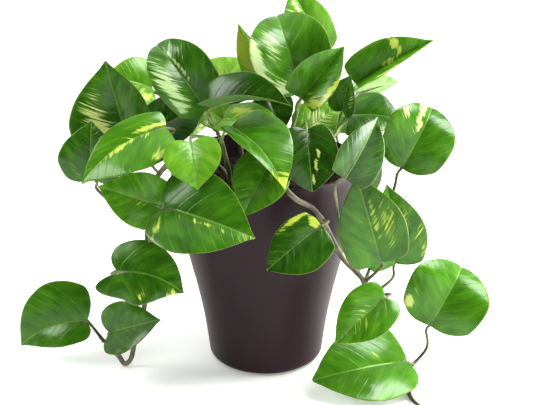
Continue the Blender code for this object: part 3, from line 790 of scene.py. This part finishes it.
def potting_mix():
    """Moist peat-based potting mix: near-black brown, with paler fibres and bark."""
    material, tree, shader = new_material("moist_peat_potting_mix")
    body = add_node(tree, "ShaderNodeTexCoord", {})
    # Bark and fibre grains are about 2.4 mm across, and damp patches about 11 mm.
    grains = add_node(
        tree,
        "ShaderNodeTexVoronoi",
        {"Vector": body.outputs["Object"], "Scale": texture_scale(2.381)},
    ).outputs["Color"]
    grain = add_node(tree, "ShaderNodeSeparateColor", {"Color": grains}).outputs["Red"]
    damp = add_node(
        tree,
        "ShaderNodeTexNoise",
        {"Vector": body.outputs["Object"], "Scale": texture_scale(11.11), "Detail": 5.0},
    ).outputs["Fac"]
    blend = add_node(
        tree, "ShaderNodeMath", {0: grain, 1: 0.45, 2: damp}, operation="MULTIPLY_ADD"
    ).outputs[0]
    browns = [(0.35, "#0f0a08"), (0.7, "#21170f"), (0.95, "#403023")]
    colour = add_node(tree, "ShaderNodeValToRGB", {"Fac": blend}, stops=browns).outputs["Color"]
    tree.links.new(colour, shader.inputs["Base Color"])
    bump = add_node(tree, "ShaderNodeBump", {"Strength": 0.8, "Distance": 0.6 * MM, "Height": blend})
    tree.links.new(bump.outputs["Normal"], shader.inputs["Normal"])
    rough = add_node(tree, "ShaderNodeMapRange", {"Value": damp, "To Min": 0.75, "To Max": 1.0})
    tree.links.new(rough.outputs["Result"], shader.inputs["Roughness"])
    return material


# ---------------------------------------------------------------------------
# Shapes
# ---------------------------------------------------------------------------


def curve_point(points, index, t):
    """A share t of the way from one point to the next, on a smooth curve (Catmull-Rom)."""
    last = len(points) - 1
    before = points[max(index - 1, 0)]
    start = points[index]
    end = points[index + 1]
    after = points[min(index + 2, last)]
    bend = 2 * before - 5 * start + 4 * end - after
    turn = 3 * start - before - 3 * end + after
    return 0.5 * (2 * start + (end - before) * t + bend * t**2 + turn * t**3)


def smooth(points, steps):
    """Points along one smooth curve through all the given ones."""
    spans = range(len(points) - 1)
    route = [curve_point(points, index, step / steps) for index in spans for step in range(steps)]
    return route + [points[-1].copy()]


def add_piece(name, shape, materials, nodes, sharp=40):
    """One piece from a bmesh built in millimetres, riding on the part in place of CAD nodes.

    sharp is the angle in degrees from which an edge between two faces stays sharp.
    """
    bmesh.ops.scale(shape, vec=(MM, MM, MM), verts=shape.verts)
    mesh = bpy.data.meshes.new(name)
    shape.to_mesh(mesh)
    shape.free()
    mesh.shade_smooth()
    mesh.set_sharp_from_angle(angle=math.radians(sharp))
    for material in materials:
        mesh.materials.append(material)
    piece = bpy.data.objects.new(name, mesh)
    bpy.context.scene.collection.objects.link(piece)
    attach(piece, "root")
    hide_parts(*nodes)
    return piece


def turned(profile, sides):
    """Turn a profile of (radius, height) points, both ends on the axis, about +Z."""
    shape = bmesh.new()
    verts = [shape.verts.new((radius, 0.0, height)) for radius, height in profile]
    edges = [shape.edges.new(pair) for pair in zip(verts, verts[1:])]
    bmesh.ops.spin(
        shape,
        geom=verts + edges,
        axis=(0, 0, 1),
        angle=2 * math.pi,
        steps=sides,
        use_merge=True,
    )
    bmesh.ops.remove_doubles(shape, verts=shape.verts, dist=MERGE_DISTANCE)
    bmesh.ops.recalc_face_normals(shape, faces=shape.faces)
    return shape


def grow_tube(shape, points, radii, sides, young):
    """Add a closed tube to shape: one ring is extruded from point to point."""
    layer = shape.verts.layers.float.get("young") or shape.verts.layers.float.new("young")
    last = len(points) - 1
    heading = (points[1] - points[0]).normalized()
    place = heading.to_track_quat("Z", "Y").to_matrix().to_4x4()
    ring = bmesh.ops.create_circle(
        shape,
        cap_ends=True,
        segments=sides,
        radius=radii[0],
        matrix=Matrix.Translation(points[0]) @ place,
    )["verts"]
    faces = set(ring[0].link_faces)
    edges = [edge for edge in ring[0].link_faces[0].edges]
    for index in range(1, last + 1):
        ahead = points[min(index + 1, last)] - points[index - 1]
        turn = heading.rotation_difference(ahead.normalized()).to_matrix()
        heading = ahead.normalized()
        grown = bmesh.ops.extrude_edge_only(shape, edges=edges)["geom"]
        ring = {item for item in grown if isinstance(item, bmesh.types.BMVert)}
        faces.update(item for item in grown if isinstance(item, bmesh.types.BMFace))
        edges = [item for item in grown if isinstance(item, bmesh.types.BMEdge)]
        edges = [edge for edge in edges if edge.verts[0] in ring and edge.verts[1] in ring]
        scale = radii[index] / radii[index - 1]
        for vert in ring:
            vert.co = points[index] + turn @ (vert.co - points[index - 1]) * scale
    faces.update(bmesh.ops.edgeloop_fill(shape, edges=edges)["faces"])
    for vert in {vert for face in faces for vert in face.verts}:
        vert[layer] = young
    bmesh.ops.recalc_face_normals(shape, faces=list(faces))


def wall_radius(height):
    """Outer radius of the pot: a taper with a slight S, fuller towards the rim."""
    share = height / POT_HEIGHT
    taper = BASE_RADIUS + (RIM_RADIUS - BASE_RADIUS) * share
    return taper - SWELL * math.sin(2 * math.pi * share)


def make_pot():
    """The pot: foot, wall, rounded rim and inner wall in one turned profile."""
    heights = [share * POT_HEIGHT for share in WALL_SHARES]
    centre = wall_radius(BASE_ROUNDING) - BASE_ROUNDING
    profile = [(0.0, 0.0), (centre * UNDERSIDE_RING, 0.0)]
    for step in range(FOOT_STEPS + 1):
        angle = math.radians(90 * step / FOOT_STEPS - 90)
        across = centre + BASE_ROUNDING * math.cos(angle)
        profile.append((across, BASE_ROUNDING * (1 + math.sin(angle))))
    profile += [(wall_radius(height), height) for height in heights]
    lip = WALL / 2
    for step in range(LIP_STEPS + 1):
        angle = math.radians(180 * step / LIP_STEPS)
        across = wall_radius(POT_HEIGHT - lip) - lip + lip * math.cos(angle)
        profile.append((across, POT_HEIGHT - lip + lip * math.sin(angle)))
    profile += [(wall_radius(height) - WALL, height) for height in reversed(heights)]
    profile.append((wall_radius(FLOOR + BASE_ROUNDING) - WALL, FLOOR + BASE_ROUNDING))
    profile.append((wall_radius(FLOOR) - WALL - BASE_ROUNDING / 2, FLOOR))
    profile.append((0.0, FLOOR))
    add_piece("pot_wall", turned(profile, POT_SIDES), [pot_plastic()], ["pot"])


def soil_height(reach):
    """Height of the soil's domed top at a distance from the axis."""
    edge = POT_HEIGHT - SOIL_BELOW_RIM
    return edge + SOIL_DOME * (1 - (reach / wall_radius(edge)) ** 2)


def make_soil():
    """The soil: its plug in the pot, a lumpy top, and loose crumbs lying on it."""
    gap = WALL + CLEARANCE
    foot = FLOOR + CLEARANCE
    edge = POT_HEIGHT - SOIL_BELOW_RIM
    profile = [(0.0, foot)]
    profile.append((wall_radius(FLOOR) - gap - BASE_ROUNDING / 2, foot))
    profile.append((wall_radius(FLOOR + BASE_ROUNDING) - gap, foot + BASE_ROUNDING))
    profile += [(wall_radius(height) - gap, height) for height in SOIL_SIDE_HEIGHTS]
    outer = wall_radius(edge) - gap
    for step in range(SOIL_RINGS, -1, -1):
        reach = outer * step / SOIL_RINGS
        profile.append((reach, soil_height(reach)))
    shape = turned(profile, SOIL_SIDES)
    # Only the top is lumpy, inside its outermost ring, so that the plug keeps its gap.
    for vert in shape.verts:
        reach = vert.co.xy.length
        if vert.co.z > edge - 1.0 and reach < outer - 0.5:
            vert.co.z += LUMP_HEIGHT * noise.fractal(vert.co / LUMP_LENGTH, *LUMP_OCTAVES)
    scatter = random.Random(CRUMB_SEED)
    noise.seed_set(CRUMB_SEED)
    for _ in range(CRUMBS):
        reach = (outer - CRUMB_MARGIN) * math.sqrt(scatter.random())
        turn = scatter.uniform(0, 2 * math.pi)
        size = scatter.uniform(*CRUMB_RADII)
        spot = Vector((reach * math.cos(turn), reach * math.sin(turn), soil_height(reach) + 0.4 * size))
        tilt = Matrix.Rotation(scatter.uniform(0, 3), 4, (scatter.random(), scatter.random(), 1))
        stretch = Matrix.Diagonal((scatter.uniform(0.8, 1.6), scatter.uniform(0.7, 1.1), 0.7, 1.0))
        crumb = bmesh.ops.create_icosphere(
            shape, subdivisions=1, radius=size, matrix=Matrix.Translation(spot) @ tilt @ stretch
        )
        for vert in crumb["verts"]:
            vert.co += CRUMB_ROUGHNESS * size * noise.noise_vector(vert.co * 1.3)
    add_piece("soil_mix", shape, [potting_mix()], ["soil"], sharp=50)


class Midrib:
    """The bent midrib of a leaf, and the way the blade turns along it."""

    def __init__(self, leaf):
        self.leaf = leaf
        self.base = Vector(leaf.base)
        chord = Vector(leaf.tip) - self.base
        self.length = chord.length
        self.along = chord.normalized()
        face = Vector(leaf.face)
        self.up = (face - face.dot(self.along) * self.along).normalized()
        self.side = self.up.cross(self.along)
        self.stations = self.bent_stations()

    def heading(self, share):
        """Direction of the midrib at a share of its length, in its own frame."""
        leaf = self.leaf
        pitch = math.radians(leaf.droop) * (1 / (leaf.hook + 1) - share**leaf.hook)
        yaw = math.radians(leaf.lean) * (0.5 - share)
        level = math.cos(pitch)
        return Vector((level * math.cos(yaw), level * math.sin(yaw), math.sin(pitch)))

    def bent_stations(self):
        """Points along the midrib, kept so that both of its ends stay in place."""
        stations = [Vector((0, 0, 0))]
        for step in range(MIDRIB_STEPS):
            stations.append(stations[-1] + self.heading((step + 0.5) / MIDRIB_STEPS))
        end = stations[-1]
        drift = Vector((0, end.y, end.z)) / MIDRIB_STEPS
        scale = self.length / end.x
        return [(point - drift * index) * scale for index, point in enumerate(stations)]

    def frame(self, share):
        """Place, forward, sideways and upward directions at a share of the length."""
        clipped = min(max(share, 0.0), 1.0)
        index = min(int(clipped * MIDRIB_STEPS), MIDRIB_STEPS - 1)
        start, end = self.stations[index], self.stations[index + 1]
        point = start.lerp(end, clipped * MIDRIB_STEPS - index)
        ahead = (end - start).normalized()
        point = point + ahead * min(share, 0.0) * self.length
        side = Vector((0, 0, 1)).cross(ahead).normalized()
        up = ahead.cross(side)
        turn = Matrix((self.along, self.side, self.up)).transposed()
        return self.base + turn @ point, turn @ ahead, turn @ side, turn @ up


def margin(share):
    """A point of the half outline, at a share of the way from the stalk to the tip."""
    spans = len(HALF_OUTLINE) - 1
    index = min(int(share * spans), spans - 1)
    return curve_point(HALF_OUTLINE, index, share * spans - index)


def vein_place(share, spread):
    """Which lateral vein passes here: veins sweep forward, and fan out from the base."""
    sweep = VEIN_SWEEP * spread**1.2
    if share >= sweep:
        return share - sweep
    return -0.2 * math.atan2(sweep - share, spread + 0.02)


def splash_strength(look, share, across):
    """How strongly the splashes of cream, on two blades partly painted light, reach a place on the blade."""
    strength = 0.0
    for along, middle, half_length, half_width, most in look.splashes:
        reach = ((share - along) / half_length) ** 2 + ((across - middle) / half_width) ** 2
        strength = max(strength, most * math.exp(-SPLASH_EDGE * reach))
    return strength


def make_blade(leaf, look, materials, seed):
    """The blade: a grid laid along its veins, quilted between them, with a wavy margin."""
    midrib = Midrib(leaf)
    shape = bmesh.new()
    layer = shape.verts.layers.float
    tone, pale, cream = layer.new("tone"), layer.new("pale"), layer.new("cream")
    margin_share, seeds = layer.new("margin"), layer.new("seed")
    veins = shape.loops.layers.uv.new("veins")
    bmesh.ops.create_grid(shape, x_segments=BLADE_ROWS, y_segments=BLADE_COLUMNS, size=1.0)
    fold = math.radians(leaf.fold)
    half = leaf.width / 2
    places = {}
    for vert in shape.verts:
        row = (vert.co.x + 1) / 2
        across = math.copysign(abs(vert.co.y) ** 1.25, vert.co.y)
        edge = margin(row)
        lobe = leaf.lobe if across > 0 else leaf.lobe * leaf.other_lobe
        along = min(edge.x, 0.0) * lobe + max(edge.x, 0.0)
        along += leaf.rounded * edge.y**2 * (1 - row)
        rib = row**1.5
        share = rib + (along - rib) * abs(across)
        spread = abs(across) * edge.y ** (1 - leaf.rounded)
        reach = spread * half * (1 + leaf.uneven * math.copysign(1, across))
        point, _, side, up = midrib.frame(share)
        vein = vein_place(share, spread)
        from_vein = abs((vein * LATERAL_VEINS + 0.5) % 1.0 - 0.5)
        swell = math.sin(math.pi * min(abs(across), 1.0)) ** 0.7
        height = reach * math.sin(fold)
        height += BELLY * half * math.sin(math.pi * abs(across)) * edge.y
        height -= FURROW_DEPTH * leaf.width * math.exp(-((from_vein / FURROW_WIDTH) ** 2)) * swell
        height -= GROOVE_DEPTH * math.exp(-((spread / GROOVE_WIDTH) ** 2)) * (1 - share)
        wave = math.sin(2 * math.pi * (1.6 * share + seed))
        wave += 0.6 * math.sin(2 * math.pi * (3.1 * share - seed))
        height += WAVE_HEIGHT * leaf.width * wave * abs(across) ** 3 * edge.y
        vert.co = point + side * math.copysign(reach, across) * math.cos(fold) + up * height
        places[vert] = (vein, math.copysign(spread, across))
        vert[tone] = look.tone
        vert[pale] = splash_strength(look, share, math.copysign(spread, across))
        vert[cream] = look.cream
        vert[margin_share] = abs(across)
        vert[seeds] = seed
    for face in shape.faces:
        for loop in face.loops:
            loop[veins].uv = places[loop.vert]
    piece = add_piece(f"{leaf.name}_blade", shape, materials, [leaf.name], sharp=80)
    thickness = piece.modifiers.new("thickness", "SOLIDIFY")
    thickness.thickness = BLADE_THICKNESS * MM
    thickness.offset = 0.0
    thickness.material_offset = 1
    thickness.material_offset_rim = 0
    rounding = piece.modifiers.new("rounding", "SUBSURF")
    rounding.levels = 1
    rounding.render_levels = 1


def stem_route(stem):
    """The stem's route above the soil: up out of it, then along its own curve."""
    foot = Vector(stem.points[0])
    points = [Vector((foot.x, foot.y, soil_height(foot.xy.length) + STEM_RISE))]
    points += [Vector(point) for point in stem.points[1:]]
    return smooth(points, ROUTE_STEPS)


def add_stalk(shape, leaf, node):
    """The leaf's stalk: thick where it clasps the stem, slim, and thicker under the blade."""
    midrib = Midrib(leaf)
    origin, forward, _, up = midrib.frame(0.0)
    reach = BLADE_THICKNESS / 2 + STALK_RADIUS * 0.55
    end = origin - up * reach
    approach = origin - up * (reach + 5.0) - forward * leaf.neck
    points = [node] + [Vector(point) for point in leaf.via] + [approach, end]
    route = smooth(points, STALK_STEPS)
    count = len(route)
    radii = []
    for index in range(count):
        share = index / (count - 1)
        clasp = 0.55 * math.exp(-share * 7)
        neck = 0.16 * math.exp(-(1 - share) * 9)
        radii.append(STALK_RADIUS * (0.88 + clasp + neck))
    for step in range(1, RIB_STEPS):
        place, _, _, lift = midrib.frame(RIB_STRIDE * step)
        thickness = STALK_RADIUS * 0.85 * (1 - step / RIB_STEPS) + 0.12
        route.append(place - lift * (thickness * 0.75 + 0.1))
        radii.append(thickness)
    youth = CROWN_STALK_YOUTH if leaf.stem.startswith("crown") else VINE_STALK_YOUTH
    grow_tube(shape, route, radii, STALK_SIDES, youth)


def make_stems():
    """The stems, each with its leaf stalks, swollen a little at every node."""
    skin = stem_skin()
    for stem in STEMS:
        route = stem_route(stem)
        root = route[0] - Vector((0, 0, STEM_ROOT))
        own_leaves = [leaf for leaf in LEAVES if leaf.stem == stem.name]
        places = [round(leaf.node * NODE_STEPS) * ROUTE_STEPS // NODE_STEPS for leaf in own_leaves]
        last = len(route) - 1
        radii = [stem.radius]
        for index in range(last + 1):
            knot = max([math.exp(-(((index - place) / KNOT_STEPS) ** 2)) for place in places] + [0.0])
            taper = min(1.0, BUD_RADIUS / stem.radius + (last - index) / (4 * ROUTE_STEPS))
            radii.append(stem.radius * taper * (1 + KNOT_SWELL * knot))
        shape = bmesh.new()
        youth = CROWN_STEM_YOUTH if stem.name.startswith("crown") else VINE_STEM_YOUTH
        grow_tube(shape, [root] + route, radii, STEM_SIDES, youth)
        for leaf, place in zip(own_leaves, places):
            add_stalk(shape, leaf, route[place])
        add_piece(f"{stem.name}_skin", shape, [skin], [stem.name])


# ---------------------------------------------------------------------------
# The stage
# ---------------------------------------------------------------------------


def make_stage():
    """A white floor in a white room that is dim towards the front, and four softboxes."""
    shape = bmesh.new()
    bmesh.ops.create_grid(shape, x_segments=2, y_segments=2, size=6.0)
    mesh = bpy.data.meshes.new("floor")
    shape.to_mesh(mesh)
    shape.free()
    floor = bpy.data.objects.new("floor", mesh)
    bpy.context.scene.collection.objects.link(floor)
    material, tree, shader = new_material("matt_white_paper")
    shader.inputs["Base Color"].default_value = linear("#f6f6f5")
    shader.inputs["Roughness"].default_value = 0.9
    shader.inputs["Specular IOR Level"].default_value = 0.1
    shader.inputs["Emission Color"].default_value = (1, 1, 1, 1)
    shader.inputs["Emission Strength"].default_value = 0.25
    mesh.materials.append(material)

    world = bpy.data.worlds.new("white_room")
    world.use_nodes = True
    tree = world.node_tree
    compass = add_node(tree, "ShaderNodeTexCoord", {})
    heading = add_node(tree, "ShaderNodeSeparateXYZ", {"Vector": compass.outputs["Generated"]}).outputs["Y"]
    glow = add_node(
        tree,
        "ShaderNodeMapRange",
        {"Value": heading, "From Min": -0.45, "From Max": 0.2, "To Min": 0.06, "To Max": 1.3},
    ).outputs["Result"]
    seen = add_node(tree, "ShaderNodeLightPath", {}).outputs["Is Camera Ray"]
    strength = add_node(tree, "ShaderNodeMath", {0: glow, 1: seen}, operation="MAXIMUM").outputs[0]
    tree.links.new(strength, tree.nodes["Background"].inputs["Strength"])
    tree.nodes["Background"].inputs["Color"].default_value = (1, 1, 1, 1)
    bpy.context.scene.world = world

    # Each softbox: its name, place and aim in metres, width in metres, and power in watts.
    lamps = [
        ("key", (0.55, -0.08, 1.10), (0.0, 0.0, 0.14), 0.55, 14.0),
        ("left", (-0.95, -0.25, 0.72), (-0.03, -0.02, 0.2), 0.45, 6.0),
        ("front", (0.80, -1.25, 0.40), (0.0, 0.0, 0.12), 1.1, 8.0),
        ("low_right", (0.75, 0.0, 0.18), (0.0, 0.0, 0.10), 0.4, 8.0),
    ]
    for name, place, aim, size, power in lamps:
        lamp = bpy.data.lights.new(name, "AREA")
        lamp.shape = "SQUARE"
        lamp.size = size
        lamp.energy = power
        holder = bpy.data.objects.new(name, lamp)
        holder.location = place
        holder.rotation_euler = (Vector(aim) - Vector(place)).to_track_quat("-Z", "Y").to_euler()
        bpy.context.scene.collection.objects.link(holder)


def make_camera():
    """A short telephoto in front of the pot, looking down by about 20 degrees."""
    lens = bpy.data.cameras.new("camera")
    lens.lens = 76.67
    lens.sensor_width = 36.0
    lens.clip_start = 0.01
    camera = bpy.data.objects.new("camera", lens)
    camera.location = (0.0034, -0.8624, 0.4506)
    camera.rotation_euler = (math.radians(69.7), 0.0, 0.0)
    bpy.context.scene.collection.objects.link(camera)
    bpy.context.scene.camera = camera
    view = bpy.context.scene.view_settings
    view.view_transform = "Standard"
    view.gamma = 0.85


make_camera()
make_stage()
make_pot()
make_soil()
make_stems()
leaf_skins = [leaf_surface("living_leaf_upper", False), leaf_surface("living_leaf_underside", True)]
for number, blade in enumerate(LEAVES):
    make_blade(blade, LOOKS[blade.name], leaf_skins, (number * SEED_STEP) % 1.0)
